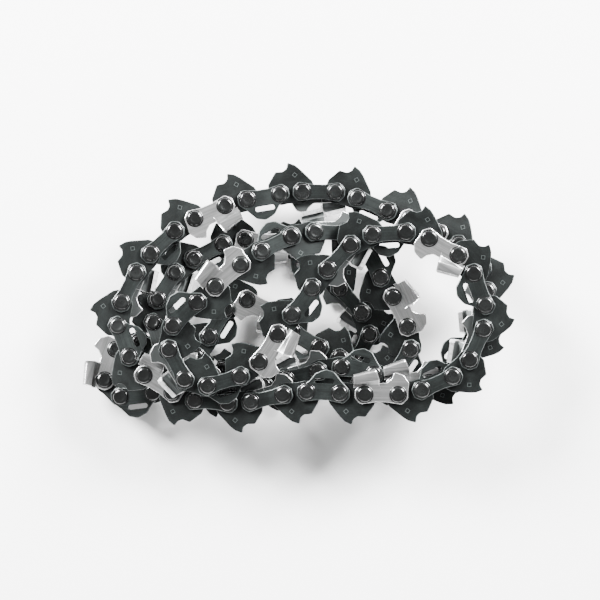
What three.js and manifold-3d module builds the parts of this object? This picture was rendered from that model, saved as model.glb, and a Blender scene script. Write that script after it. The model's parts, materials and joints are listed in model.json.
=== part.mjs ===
// A closed loop of saw chain, dropped in a heap and lying on its side, so that every rivet
// stands upright. Units are millimetres, +Z is up, and the heap rests on the plane z = 0.
// Travel runs from link to link along the loop: the tangs of the drive links stand to its left
// and the cutters to its right. The near side of a link is its upper side, the far side the lower.
import * as THREE from 'three';
import { mergeVertices } from 'three/addons/utils/BufferGeometryUtils.js';
import Module from 'manifold-3d';

const wasm = await Module();
wasm.setup();

// ---------------------------------------------------------------- driving sizes
const UNITS = 56;               // drive links in the loop
const PITCH = 8.255;            // half the length of a drive link and an outer link together
const DRIVE_SPACING = 6.94;     // between the two rivets of a drive link
const OUTER_SPACING = 2 * PITCH - DRIVE_SPACING;
const GAUGE = 1.27;             // thickness of a drive link
const PLATE = 1.1;              // thickness of a strap or a cutter
const PLATE_GAP = 0.3;          // between a drive link and the plates beside it
const END_GAP = 0.74;           // between the round ends of two plates in a row
const END_RADIUS = (DRIVE_SPACING - END_GAP) / 2;
const WAIST = 2.2;              // half width of an outer plate between its rivets
const TANG = 8.9;               // from the rivet line to the tip of a tang
const SHANK_RADIUS = 1.5;
const HEAD_RIM = 0.7;           // how far a rivet head stands out past its shank
const HEAD_RADIUS = SHANK_RADIUS + HEAD_RIM;
const HEAD = 0.6;               // height of a rivet head
const HEAD_GAP = 0.12;          // between a head and the plate under it
const PIN_GAP = 0.2;            // around a rivet that turns in its hole
const OPEN_GAP = 0.75;          // around the rivet of an opened pivot
const NOSE_WALL = 0.65;         // of a drive link, behind the hole of an opened pivot
const NOSE = SHANK_RADIUS + OPEN_GAP + NOSE_WALL;
const BELLY_WALL = 1.8;         // of a drive link, under its rivets
const BELLY = SHANK_RADIUS + BELLY_WALL;
const CUTTER_HEIGHT = 7.2;      // from the rivet line to the cutting corner
const CUTTER_DROP = 1.6;        // how much lower the top plate is at its heel
const FLARE = 1.5;              // how far the top of a cutter stands out from its side plate
const TOP_PLATE = 1.2;          // thickness of a cutter's top plate
const CROWN_EDGE = 1.2;         // from the middle of a cutter to the cutting edge
const CROWN_HEEL = 0.1;         // how far the heel stands past the round end of the plate
const CROWN_RAKE = 0.45;        // how far the cutting edge leans back, for each mm of depth
const BUMPER_HEIGHT = 6.8;      // from the rivet line to the back of a bumper strap
const LAYER_GAP = 0.69;         // between the rivet heads of two layers of the heap

// Heights across one link, measured from its middle plane.
const INNER = GAUGE / 2 + PLATE_GAP;
const OUTER = INNER + PLATE;
const HEAD_FOOT = OUTER + HEAD_GAP;
const HEAD_TOP = HEAD_FOOT + HEAD;
const TIER = 2 * HEAD_TOP + LAYER_GAP;
const ROUTE_PITCH = 8.255;      // the pitch that the route below is drawn for
const ROUTE_SCALE = PITCH / ROUTE_PITCH;
const PIN_SIDES = 8;            // sides of a rivet that is its own piece
const RUN_SIDES = 6;            // sides of a rivet joined into a run
const JOINED_SHANK_SIDES = 4;   // sides of the hidden shank of a joined rivet
const LOOSE_STEPS = 4;          // chords of a round plate end, on a loose link
const RUN_STEPS = 2;            // and on a joined one

// ---------------------------------------------------------------- the way the loop lies
// Each point is [x, y, layer], close to the middle of a drive link. Layer 0 lies on the table.
const ROUTE = [
  // start, at the end of the riser
  [-14, 10, 4],
  // left lobe, on top of the heap
  [-26, 0, 4], [-37.5, -12.5, 4], [-31, -26, 4], [-14.5, -22.5, 4], [-4.5, -9.5, 4],
  // diagonal
  [5.5, 3.5, 4], [17.5, 15.5, 4],
  // right lobe, on top of the heap
  [33, 17, 4], [48, 8.5, 4], [53.5, -6, 4], [47, -21.5, 4], [32.5, -28.5, 4],
  // front, falling under the left lobe
  [16.5, -29, 4], [0, -28.5, 3.62], [-15.5, -31.5, 3.18],
  // left edge
  [-32, -30.5, 2.95], [-46, -22.5, 2.75], [-52.5, -8.5, 2.5], [-46.5, 7, 2.25],
  // top arc, sagging towards the table
  [-35.5, 18.5, 1.92], [-21.5, 25.5, 1.58], [-5.5, 29, 1.25], [11, 29.5, 1.15],
  [26, 24, 1.45], [40.5, 17.5, 2],
  // right edge, under the right lobe
  [53, 7.5, 2.5], [53, -8, 2.88], [44.5, -22, 2.97],
  // under the front
  [30.5, -27, 3], [16.5, -21.5, 2.9], [1.5, -23.5, 2.6], [-14, -27.5, 2.2], [-29.5, -26, 2.1],
  // inner arc, falling to the table
  [-41, -16, 1.68], [-41, -0.5, 1.15], [-29.5, 11, 0.7], [-14.5, 16, 0.35], [1, 12, 0.08],
  [12.5, 1, 0], [19.5, -7.5, 0], [20.5, -16, 0], [14.5, -22, 0],
  // base
  [5, -24, 0], [-12, -23.5, 0], [-28, -21.5, 0], [-41.5, -15.5, 0],
  // left turn and the way through the middle
  [-50.5, -15, 0.22], [-55.8, -18.7, 0.4], [-57.4, -25, 0.56], [-53, -30, 0.72],
  [-45, -30, 0.88], [-34, -23.5, 1.06], [-25, -10.5, 0.89], [-19.5, -2.5, 0.68], [-10, -2.5, 0.7],
  [-2, -11, 0.9], [12, -19, 1.4], [23.5, -24.5, 1.8], [31, -22, 1.96], [32.5, -15, 2.1],
  // riser, back up to the left lobe
  [30, -6, 2.32], [24.5, 3, 2.6], [15.5, 16.5, 3.02], [0.5, 17, 3.6],
];
const SLACK_POINTS = [54, 55];  // the crest in the middle, which moves until the loop closes
const SLACK_RANGE = [-9, 7];
const CURVE_STEPS = 6000;
const EASE = 0.4;               // route points over which a slope eases into the next
const EASE_SAMPLES = 4;
const CLOSING_ROUNDS = 40;      // halvings of the slack range

// ---------------------------------------------------------------- rivets along the route

/** Height of the route at a place counted in route points, eased where its slope changes. */
function heightAt(place) {
  let sum = 0;
  for (let sample = -EASE_SAMPLES; sample <= EASE_SAMPLES; sample += 1) {
    const near = (place + (EASE * sample) / EASE_SAMPLES + ROUTE.length) % ROUTE.length;
    const before = Math.floor(near);
    const after = (before + 1) % ROUTE.length;
    sum += THREE.MathUtils.lerp(ROUTE[before][2], ROUTE[after][2], near - before);
  }
  return (TIER * sum) / (2 * EASE_SAMPLES + 1);
}

const HEIGHTS = Array.from({ length: CURVE_STEPS + 1 }, (_, step) => (
  heightAt((step / CURVE_STEPS) * ROUTE.length)));

/** The route as a dense line, with its slack points moved along y. */
function routeLine(slack) {
  const points = ROUTE.map(([x, y], index) => new THREE.Vector3(
    x * ROUTE_SCALE,
    (SLACK_POINTS.includes(index) ? y + slack : y) * ROUTE_SCALE,
    0,
  ));
  const line = new THREE.CatmullRomCurve3(points, true, 'centripetal').getPoints(CURVE_STEPS);
  line.forEach((point, step) => point.setZ(HEIGHTS[step]));
  return line;
}

/** Where the line first leaves a ball around a point, searched from a place on the line. */
function stepAlong(line, from, place, distance) {
  let index = Math.floor(place);
  let near = from;
  let far = line[(index + 1) % CURVE_STEPS];
  while (far.distanceTo(from) < distance) {
    index += 1;
    near = far;
    far = line[(index + 1) % CURVE_STEPS];
  }
  const start = near === from ? 0 : near.distanceTo(from);
  const share = (distance - start) / (far.distanceTo(from) - start);
  return { point: near.clone().lerp(far, share), place: index + share };
}

/** Every rivet of the loop, and how far the last one overshoots the first. */
function layRivets(slack) {
  const line = routeLine(slack);
  let here = stepAlong(line, line[CURVE_STEPS - 1].clone(), CURVE_STEPS - 1, DRIVE_SPACING / 2);
  const first = here;
  const rivets = [here.point];
  for (let link = 0; link < 2 * UNITS; link += 1) {
    const spacing = link % 2 === 0 ? OUTER_SPACING : DRIVE_SPACING;
    here = stepAlong(line, here.point, here.place, spacing);
    rivets.push(here.point);
  }
  return { rivets, overshoot: here.place - first.place - CURVE_STEPS };
}

/** The rivets of the loop with its slack points set so that the last link meets the first. */
function closeLoop() {
  let [low, high] = SLACK_RANGE;
  for (let round = 0; round < CLOSING_ROUNDS; round += 1) {
    const middle = (low + high) / 2;
    if (layRivets(middle).overshoot > 0) low = middle;
    else high = middle;
  }
  return layRivets((low + high) / 2).rivets.slice(0, 2 * UNITS);
}

// ---------------------------------------------------------------- link plates
// Every link has its own frame: origin midway between its rivets, +X along the travel, +Y to
// the left (the tang side) and +Z to its near side.

const HALF_DRIVE = DRIVE_SPACING / 2;
const HALF_OUTER = OUTER_SPACING / 2;

/** Points of an arc around (cx, cy), from one angle to another in degrees. */
function arc(cx, cy, radius, from, to, steps) {
  return Array.from({ length: steps + 1 }, (_, step) => {
    const angle = THREE.MathUtils.degToRad(from + ((to - from) * step) / steps);
    return new THREE.Vector2(cx + radius * Math.cos(angle), cy + radius * Math.sin(angle));
  });
}

function corner(x, y) {
  return new THREE.Vector2(x, y);
}

/** A polygon whose flats stand clear of a round pin by a gap. */
function holeAround(x, gap, sides) {
  const radius = (SHANK_RADIUS + gap) / Math.cos(Math.PI / sides);
  return new THREE.Path(arc(x, 0, radius, 0, 360 * (1 - 1 / sides), sides - 1));
}

/** A closed manifold solid from a closed three.js geometry. */
function solidOf(geometry) {
  geometry.deleteAttribute('normal');
  geometry.deleteAttribute('uv');
  const merged = mergeVertices(geometry, 1e-5);
  return new wasm.Manifold(new wasm.Mesh({
    numProp: 3,
    vertProperties: new Float32Array(merged.attributes.position.array),
    triVerts: new Uint32Array(merged.index.array),
  }));
}

/** A flat plate between two heights, cut with holes. */
function plate(outline, holes, bottom, top) {
  const shape = new THREE.Shape(outline);
  shape.holes.push(...holes);
  const geometry = new THREE.ExtrudeGeometry(shape, { depth: top - bottom, bevelEnabled: false });
  return solidOf(geometry.translate(0, 0, bottom));
}

/** An upright prism with regular sides, centred on a rivet. */
function prism(x, radius, bottom, top, sides) {
  const geometry = new THREE.CylinderGeometry(radius, radius, top - bottom, sides);
  return solidOf(geometry.rotateX(Math.PI / 2).translate(x, 0, (bottom + top) / 2));
}

/** A drive link. A gap of null leaves that rivet hole out. */
function driveLink(startGap, endGap, sides) {
  const outline = [
    corner(-HALF_DRIVE - NOSE, 0),
    corner(-HALF_DRIVE - 1.4, -BELLY * 0.85),
    corner(-HALF_DRIVE + 0.6, -BELLY),
    corner(HALF_DRIVE - 0.2, -BELLY),
    corner(HALF_DRIVE + NOSE - 0.3, -BELLY * 0.7),
    corner(HALF_DRIVE + NOSE + 0.8, 1.2),
    corner(HALF_DRIVE + NOSE + 0.2, 2.9),
    corner(HALF_DRIVE, TANG - 2.1),
    corner(1.8, TANG - 0.4),
    corner(-0.1, TANG),
    corner(-0.7, TANG - 1.8),
    corner(-3.3, TANG - 2.5),
    corner(-HALF_DRIVE - NOSE + 0.2, 3),
  ];
  const holes = [[-HALF_DRIVE, startGap], [HALF_DRIVE, endGap]]
    .filter(([, gap]) => gap !== null)
    .map(([x, gap]) => holeAround(x, gap, sides));
  return plate(outline, holes, -GAUGE / 2, GAUGE / 2);
}

/** The round end of an outer plate around its front (1) or rear (-1) rivet. */
function roundEnd(end, from, to, steps) {
  return arc(end * HALF_OUTER, 0, END_RADIUS, from, to, steps);
}

function tieStrapOutline(steps) {
  return [
    corner(0, -WAIST), ...roundEnd(1, -70, 70, steps),
    corner(0, WAIST), ...roundEnd(-1, 110, 250, steps),
  ];
}

function bumperOutline(steps) {
  return [
    corner(-HALF_OUTER - 0.3, -END_RADIUS - 0.6),
    corner(-HALF_OUTER + 1.8, -BUMPER_HEIGHT + 0.6),
    corner(-0.4, -BUMPER_HEIGHT),
    corner(2.2, -BUMPER_HEIGHT + 1.2),
    corner(HALF_OUTER - 0.4, -END_RADIUS), ...roundEnd(1, -60, 70, steps),
    corner(0, WAIST), ...roundEnd(-1, 110, 210, steps),
  ];
}

/** The slot through a bumper strap, halfway up its hump. */
function bumperSlot() {
  const rise = -BUMPER_HEIGHT / 2;
  return new THREE.Path([
    corner(-3, rise), corner(-2.2, rise - 0.8), corner(2, rise - 0.8),
    corner(2.8, rise), corner(2, rise + 0.8), corner(-2.2, rise + 0.8),
  ]);
}

/** A cutter's side plate: depth gauge at its rear (-X) rivet, gullet, and foot of the crown. */
function cutterOutline(steps) {
  return [
    corner(-HALF_OUTER - END_RADIUS - 0.3, -3.2),
    corner(-HALF_OUTER - 1.6, -5.6),
    corner(-HALF_OUTER + 1.1, -CUTTER_HEIGHT + 0.7),
    corner(-0.6, -3.6),
    corner(1.4, -END_RADIUS), ...roundEnd(1, -70, 70, steps),
    corner(0, WAIST), ...roundEnd(-1, 110, 190, steps),
  ];
}

/** The part of a cutter that flares out and folds over the chain, from heel to cutting edge. */
function cutterCrown(side) {
  const face = INNER + FLARE;
  const back = OUTER + FLARE;
  const profile = [
    corner(-1.8, INNER), corner(-2.9, INNER), corner(-4.7, face),
    corner(-CUTTER_HEIGHT + TOP_PLATE, face), corner(-CUTTER_HEIGHT + TOP_PLATE, INNER),
    corner(-CUTTER_HEIGHT, INNER), corner(-CUTTER_HEIGHT, back), corner(-4.2, back),
    corner(-2.5, OUTER), corner(-1.8, OUTER),
  ].map(({ x, y }) => corner(x, side * y));
  const length = HALF_OUTER + END_RADIUS + CROWN_HEEL - CROWN_EDGE;
  const shape = new THREE.Shape(profile);
  const geometry = new THREE.ExtrudeGeometry(shape, { depth: length, bevelEnabled: false });
  const across = new THREE.Vector3(0, 1, 0);
  const upward = new THREE.Vector3(0, 0, 1);
  const along = new THREE.Vector3(1, 0, 0);
  geometry.applyMatrix4(new THREE.Matrix4().makeBasis(across, upward, along));
  const place = geometry.attributes.position;
  for (let vertex = 0; vertex < place.count; vertex += 1) {
    const [x, y, z] = [place.getX(vertex), place.getY(vertex), place.getZ(vertex)];
    const share = x / length;
    if (y < -4) place.setY(vertex, y + CUTTER_DROP * share);
    place.setX(vertex, CROWN_EDGE + x + (1 - share) * CROWN_RAKE * (back - side * z));
  }
  return solidOf(geometry);
}

/** One outer plate: a tie strap, a bumper strap or a cutter, on the near (1) or far (-1) side. */
function outerPlate(kind, side, holes, steps) {
  const outlines = { tie: tieStrapOutline, bumper: bumperOutline, cutter: cutterOutline };
  const [bottom, top] = side > 0 ? [INNER, OUTER] : [-OUTER, -INNER];
  const slots = kind === 'bumper' && holes.length > 0 ? [bumperSlot()] : [];
  const flat = plate(outlines[kind](steps), [...holes, ...slots], bottom, top);
  return kind === 'cutter' ? flat.add(cutterCrown(side)) : flat;
}

/** A rivet that is its own piece: a shank between two heads. */
function rivet(x) {
  const profile = [
    corner(0, -HEAD_TOP), corner(HEAD_RADIUS, -HEAD_TOP), corner(HEAD_RADIUS, -HEAD_FOOT),
    corner(SHANK_RADIUS, -HEAD_FOOT), corner(SHANK_RADIUS, HEAD_FOOT),
    corner(HEAD_RADIUS, HEAD_FOOT), corner(HEAD_RADIUS, HEAD_TOP), corner(0, HEAD_TOP),
  ];
  const geometry = new THREE.LatheGeometry(profile, PIN_SIDES);
  return solidOf(geometry.rotateX(Math.PI / 2).rotateZ(Math.PI / 2).translate(x, 0, 0));
}

// ---------------------------------------------------------------- links in their places

// What stands on the near and the far side of each outer link, repeating along the loop.
const PATTERN = [['cutter', 'tie'], ['bumper', 'tie'], ['tie', 'cutter'], ['tie', 'bumper']];
const FINISHES = {
  tie: { color: 0x343a3e, roughness: 0.42, metalness: 0.9 },
  bumper: { color: 0x2f3539, roughness: 0.45, metalness: 0.9 },
  cutter: { color: 0xb9bbbd, roughness: 0.3, metalness: 0.95 },
  drive: { color: 0x272c30, roughness: 0.5, metalness: 0.85 },
  rivet: { color: 0x1d2023, roughness: 0.35, metalness: 0.9 },
  run: { color: 0x2b3034, roughness: 0.48, metalness: 0.88 },
};
const rivets = closeLoop();
const chain = new THREE.Group();

/** The frame of one link, level across and along its two rivets. */
function linkFrame(link) {
  const start = rivets[link];
  const end = rivets[(link + 1) % rivets.length];
  const along = end.clone().sub(start).normalize();
  const left = new THREE.Vector3(0, 0, 1).cross(along).normalize();
  const up = along.clone().cross(left);
  const middle = start.clone().add(end).multiplyScalar(0.5);
  return new THREE.Matrix4().makeBasis(along, left, up).setPosition(middle);
}

/** Adds a named mesh, standing in the frame of a link. */
function addNode(name, finish, link, solid) {
  const { vertProperties, triVerts } = solid.getMesh();
  const indexed = new THREE.BufferGeometry();
  indexed.setAttribute('position', new THREE.BufferAttribute(vertProperties, 3));
  indexed.setIndex(new THREE.BufferAttribute(triVerts, 1));
  const geometry = indexed.toNonIndexed();
  geometry.computeVertexNormals();
  const mesh = new THREE.Mesh(geometry, new THREE.MeshStandardMaterial(FINISHES[finish]));
  mesh.name = name;
  mesh.applyMatrix4(linkFrame(link));
  chain.add(mesh);
}

const LAP = 0.1;                // how far the pieces of a joined link reach into each other

/** Both plates and both rivets of an outer link, joined. */
function joinedOuterLink(link) {
  const [near, far] = PATTERN[(link / 2) % PATTERN.length];
  let solid = outerPlate(near, 1, [], RUN_STEPS).add(outerPlate(far, -1, [], RUN_STEPS));
  for (const x of [-HALF_OUTER, HALF_OUTER]) {
    solid = solid.add(prism(x, SHANK_RADIUS, LAP - OUTER, OUTER - LAP, JOINED_SHANK_SIDES));
    for (const [foot, top] of [[OUTER - LAP, HEAD_TOP], [-HEAD_TOP, LAP - OUTER]]) {
      solid = solid.add(prism(x, HEAD_RADIUS, foot, top, RUN_SIDES));
    }
  }
  return solid;
}

/** Links in a row, joined at the rivets that they share. Its end rivet holes stay open. */
function addRun(name, first, count, startGap = PIN_GAP, endGap = PIN_GAP) {
  const home = linkFrame(first).invert();
  let run = null;
  for (let index = 0; index < count; index += 1) {
    const link = first + index;
    const solid = link % 2 === 0
      ? joinedOuterLink(link)
      : driveLink(index === 0 ? startGap : null, index === count - 1 ? endGap : null, RUN_SIDES);
    const placed = solid.transform(home.clone().multiply(linkFrame(link)).toArray());
    run = run === null ? placed : run.add(placed);
  }
  addNode(name, 'run', first, run);
}

/** Every piece of one link as a node of its own. */
function addLooseLink(link) {
  const number = Math.floor(link / 2) + 1;
  if (link % 2 === 1) {
    addNode(`drive_link_${number}`, 'drive', link, driveLink(PIN_GAP, PIN_GAP, PIN_SIDES));
    return;
  }
  const holes = () => [-HALF_OUTER, HALF_OUTER].map((x) => holeAround(x, PIN_GAP, PIN_SIDES));
  const [near, far] = PATTERN[(link / 2) % PATTERN.length];
  for (const [place, kind, side] of [['near', near, 1], ['far', far, -1]]) {
    const noun = kind === 'cutter' ? kind : `${kind}_strap`;
    const name = `link_${number}_${place}_${noun}`;
    addNode(name, kind, link, outerPlate(kind, side, holes(), LOOSE_STEPS));
  }
  addNode(`link_${number}_rear_rivet`, 'rivet', link, rivet(-HALF_OUTER));
  addNode(`link_${number}_front_rivet`, 'rivet', link, rivet(HALF_OUTER));
}

// The left lobe swings, and every one of its pieces is loose.
const LEFT_LOBE_LINKS = 11;
for (let link = 0; link < LEFT_LOBE_LINKS; link += 1) addLooseLink(link);

// The diagonal rests. Its first rivet hole is the left lobe's opened pivot.
addRun('diagonal_run', 11, 3, OPEN_GAP, PIN_GAP);

// The right lobe swings on two short arms, with its turn in three runs.
addRun('right_arm_1_outer_link', 14, 1);
addRun('right_arm_1_drive_link', 15, 1);
[[16, 2], [18, 2], [20, 3]].forEach(([first, count], index) => {
  addRun(`right_turn_run_${index + 1}`, first, count);
});
addRun('right_arm_2_drive_link', 23, 1);
addRun('right_arm_2_outer_link', 24, 1);

// The rest of the loop rests under and beside the lobes, in runs that part where it is nearly
// straight and level. It starts with the other opened pivot.
const RESTING_START = 25;
const RESTING_RUNS = [3, 5, 3, 4, 4, 4, 4, 4, 5, 4, 5, 3, 3, 4, 3, 2, 6, 3, 5, 5, 5, 3];
RESTING_RUNS.reduce((first, count, index) => {
  const number = String(index + 1).padStart(2, '0');
  addRun(`resting_run_${number}`, first, count, index === 0 ? OPEN_GAP : PIN_GAP);
  return first + count;
}, RESTING_START);

// The heap stands centred on the origin, with its lowest point on z = 0.
const bounds = new THREE.Box3().setFromObject(chain, true);
const middle = bounds.getCenter(new THREE.Vector3()).setZ(bounds.min.z);
chain.children.forEach((mesh) => mesh.position.sub(middle));

export default chain;
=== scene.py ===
"""The looks of a closed loop of saw chain, dropped in a heap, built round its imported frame.

Every length in the classes is in millimetres, and is turned into metres where a mesh is made.
Only the lights, the floor and the camera's clipping are given in metres.
A link has its own frame: its origin lies midway between its rivets, X runs along the travel,
Y to the left (the tang side) and Z to its near side, which faces up in the heap.
"""

import json
import logging
import math
from dataclasses import dataclass, field, replace
from enum import Enum
from typing import Any, Callable, Iterable, Sequence, Union

import bpy
import numpy as np
from mathutils import Matrix, Vector
from mathutils.geometry import tessellate_polygon

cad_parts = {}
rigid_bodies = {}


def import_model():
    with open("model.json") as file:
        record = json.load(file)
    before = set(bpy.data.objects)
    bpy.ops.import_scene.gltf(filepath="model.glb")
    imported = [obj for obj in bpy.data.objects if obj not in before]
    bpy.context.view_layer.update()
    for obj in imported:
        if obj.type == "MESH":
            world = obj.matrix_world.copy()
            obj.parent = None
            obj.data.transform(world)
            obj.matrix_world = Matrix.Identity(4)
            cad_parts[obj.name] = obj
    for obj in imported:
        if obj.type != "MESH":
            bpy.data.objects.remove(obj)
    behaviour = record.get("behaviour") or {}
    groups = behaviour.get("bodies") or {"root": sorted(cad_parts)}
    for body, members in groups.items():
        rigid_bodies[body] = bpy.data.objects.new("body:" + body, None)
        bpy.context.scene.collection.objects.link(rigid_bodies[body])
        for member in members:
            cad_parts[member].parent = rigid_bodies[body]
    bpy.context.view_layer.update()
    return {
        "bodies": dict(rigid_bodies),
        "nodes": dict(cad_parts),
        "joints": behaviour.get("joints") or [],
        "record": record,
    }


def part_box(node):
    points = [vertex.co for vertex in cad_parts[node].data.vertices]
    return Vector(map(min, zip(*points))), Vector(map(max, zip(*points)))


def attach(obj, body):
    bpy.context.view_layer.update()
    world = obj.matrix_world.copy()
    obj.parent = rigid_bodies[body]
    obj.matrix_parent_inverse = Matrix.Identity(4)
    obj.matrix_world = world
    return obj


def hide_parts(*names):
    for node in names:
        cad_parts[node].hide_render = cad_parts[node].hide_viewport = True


LOG = logging.getLogger("saw_chain")
MM = 0.001
TINY = 1e-9
Points = np.ndarray
Corner = tuple[float, float, float]


class Plate(Enum):
    """What an outer plate of the chain is."""

    TIE = "tie_strap"
    BUMPER = "bumper_strap"
    CUTTER = "cutter"


class Side(Enum):
    """Which face of the chain a plate lies on. The near side faces up."""

    NEAR = 1
    FAR = -1


# ------------------------------------------------------------------------------ sizes


@dataclass(frozen=True)
class ChainSizes:
    """The sizes that every piece of the chain shares, as the frame has them."""

    units: int = 56
    pitch: float = 8.255
    drive_spacing: float = 6.94
    gauge: float = 1.27
    plate: float = 1.1
    plate_gap: float = 0.3
    end_gap: float = 0.74
    shank_radius: float = 1.5
    head_rim: float = 0.7
    head: float = 0.6
    head_gap: float = 0.12
    pin_gap: float = 0.2
    belly: float = 3.3
    tang: float = 8.9
    cutter_height: float = 7.2
    cutter_drop: float = 1.6
    flare: float = 1.5
    top_plate: float = 1.2
    bumper_height: float = 6.8
    layer_gap: float = 0.69

    @property
    def links(self) -> int:
        """How many links of either kind the loop has."""
        return 2 * self.units

    @property
    def outer_spacing(self) -> float:
        """Between the two rivets of an outer link."""
        return 2 * self.pitch - self.drive_spacing

    @property
    def inner_face(self) -> float:
        """Height of an outer plate's inner face above the middle plane."""
        return self.gauge / 2 + self.plate_gap

    @property
    def outer_face(self) -> float:
        """Height of an outer plate's outer face above the middle plane."""
        return self.inner_face + self.plate

    @property
    def head_top(self) -> float:
        """Height of a rivet head's top above the middle plane."""
        return self.outer_face + self.head_gap + self.head

    @property
    def head_radius(self) -> float:
        """Radius of a rivet head."""
        return self.shank_radius + self.head_rim

    @property
    def end_radius(self) -> float:
        """Radius of the ends of the outer plates."""
        return (self.drive_spacing - self.end_gap) / 2

    @property
    def tier(self) -> float:
        """Height from one layer of the heap to the next."""
        return 2 * self.head_top + self.layer_gap


SIZES = ChainSizes()


# ------------------------------------------------------------------- the way the loop lies


@dataclass
class Route:
    """Lays the rivets of the loop along the way it takes through the heap.

    Each point is x, y and layer, close to the middle of a drive link.
    """

    points: tuple[tuple[float, float, float], ...] = (
        # start, at the end of the riser
        (-14, 10, 4),
        # left lobe, on top of the heap
        (-26, 0, 4), (-37.5, -12.5, 4), (-31, -26, 4), (-14.5, -22.5, 4), (-4.5, -9.5, 4),
        # diagonal
        (5.5, 3.5, 4), (17.5, 15.5, 4),
        # right lobe, on top of the heap
        (33, 17, 4), (48, 8.5, 4), (53.5, -6, 4), (47, -21.5, 4), (32.5, -28.5, 4),
        # front, falling under the left lobe
        (16.5, -29, 4), (0, -28.5, 3.62), (-15.5, -31.5, 3.18),
        # left edge
        (-32, -30.5, 2.95), (-46, -22.5, 2.75), (-52.5, -8.5, 2.5), (-46.5, 7, 2.25),
        # top arc, sagging towards the table
        (-35.5, 18.5, 1.92), (-21.5, 25.5, 1.58), (-5.5, 29, 1.25), (11, 29.5, 1.15),
        (26, 24, 1.45), (40.5, 17.5, 2),
        # right edge, under the right lobe
        (53, 7.5, 2.5), (53, -8, 2.88), (44.5, -22, 2.97),
        # under the front
        (30.5, -27, 3), (16.5, -21.5, 2.9), (1.5, -23.5, 2.6), (-14, -27.5, 2.2),
        (-29.5, -26, 2.1),
        # inner arc, falling to the table
        (-41, -16, 1.68), (-41, -0.5, 1.15), (-29.5, 11, 0.7), (-14.5, 16, 0.35),
        (1, 12, 0.08), (12.5, 1, 0), (19.5, -7.5, 0), (20.5, -16, 0), (14.5, -22, 0),
        # base
        (5, -24, 0), (-12, -23.5, 0), (-28, -21.5, 0), (-41.5, -15.5, 0),
        # left turn and the way through the middle
        (-50.5, -15, 0.22), (-55.8, -18.7, 0.4), (-57.4, -25, 0.56), (-53, -30, 0.72),
        (-45, -30, 0.88), (-34, -23.5, 1.06), (-25, -10.5, 0.89), (-19.5, -2.5, 0.68),
        (-10, -2.5, 0.7), (-2, -11, 0.9), (12, -19, 1.4), (23.5, -24.5, 1.8),
        (31, -22, 1.96), (32.5, -15, 2.1),
        # riser, back up to the left lobe
        (30, -6, 2.32), (24.5, 3, 2.6), (15.5, 16.5, 3.02), (0.5, 17, 3.6),
    )
    slack_points: tuple[int, int] = (54, 55)
    slack_range: tuple[float, float] = (-9.0, 7.0)
    rounds: int = 40
    steps: int = 6000
    ease: float = 0.4
    ease_samples: int = 4

    def heights(self) -> Points:
        """Height of every step of the line, eased where its slope changes."""
        layers = np.array([point[2] for point in self.points], float)
        count = len(layers)
        places = np.arange(self.steps + 1) / self.steps * count
        total = np.zeros(self.steps + 1)
        for sample in range(-self.ease_samples, self.ease_samples + 1):
            near = (places + self.ease * sample / self.ease_samples + count) % count
            before = np.floor(near).astype(int) % count
            share = near - np.floor(near)
            total += layers[before] * (1 - share) + layers[(before + 1) % count] * share
        return SIZES.tier * total / (2 * self.ease_samples + 1)

    def line(self, slack: float) -> Points:
        """The route as a dense line.

        Args:
            slack: how far its slack points move along Y.

        Returns:
            One row of x, y and z for every step.
        """
        flat = np.array([point[:2] for point in self.points], float)
        flat[list(self.slack_points), 1] += slack
        count = len(flat)
        places = np.arange(self.steps + 1) / self.steps * count
        at = np.floor(places).astype(int)
        share = (places - at)[:, None]
        corners = [flat[(at + shift) % count] for shift in (-1, 0, 1, 2)]
        spans = [
            np.linalg.norm(after - before, axis=1)[:, None] ** 0.5
            for before, after in zip(corners, corners[1:])
        ]
        one = (
            (corners[1] - corners[0]) / spans[0]
            - (corners[2] - corners[0]) / (spans[0] + spans[1])
            + (corners[2] - corners[1]) / spans[1]
        ) * spans[1]
        two = (
            (corners[2] - corners[1]) / spans[1]
            - (corners[3] - corners[1]) / (spans[1] + spans[2])
            + (corners[3] - corners[2]) / spans[2]
        ) * spans[1]
        square = -3 * corners[1] + 3 * corners[2] - 2 * one - two
        cube = 2 * corners[1] - 2 * corners[2] + one + two
        curve = corners[1] + one * share + square * share**2 + cube * share**3
        return np.column_stack([curve, self.heights()])

    def step_along(
        self, line: list[tuple[float, ...]], start: tuple[float, ...], place: float, reach: float
    ) -> tuple[tuple[float, ...], float]:
        """Where the line first leaves a ball.

        Args:
            line: the dense line.
            start: the middle of the ball.
            place: where on the line the search starts.
            reach: the radius of the ball.

        Returns:
            The point, and its place on the line.
        """
        index = math.floor(place)
        near = start
        far = line[(index + 1) % self.steps]
        gone = 0.0
        while (going := math.dist(far, start)) < reach:
            index, near, gone = index + 1, far, going
            far = line[(index + 1) % self.steps]
        share = (reach - gone) / (going - gone)
        point = tuple(a + (b - a) * share for a, b in zip(near, far))
        return point, index + share

    def lay(self, slack: float) -> tuple[list[tuple[float, ...]], float]:
        """Every rivet of the loop.

        Args:
            slack: how far the slack points move along Y.

        Returns:
            The rivets, and how far the last one overshoots the first.
        """
        line = [tuple(row) for row in self.line(slack).tolist()]
        last = self.steps - 1
        here, place = self.step_along(line, line[last], last, SIZES.drive_spacing / 2)
        first = place
        rivets = [here]
        for link in range(SIZES.links):
            reach = SIZES.drive_spacing if link % 2 else SIZES.outer_spacing
            here, place = self.step_along(line, here, place, reach)
            rivets.append(here)
        return rivets, place - first - self.steps

    def rivets(self) -> list[Vector]:
        """The rivets, with the slack points set so that the last link meets the first."""
        low, high = self.slack_range
        for _ in range(self.rounds):
            middle = (low + high) / 2
            if self.lay(middle)[1] > 0:
                low = middle
            else:
                high = middle
        laid = self.lay((low + high) / 2)[0][: SIZES.links]
        return [Vector(rivet) for rivet in laid]


# ---------------------------------------------------------------------- flat outlines


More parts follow.
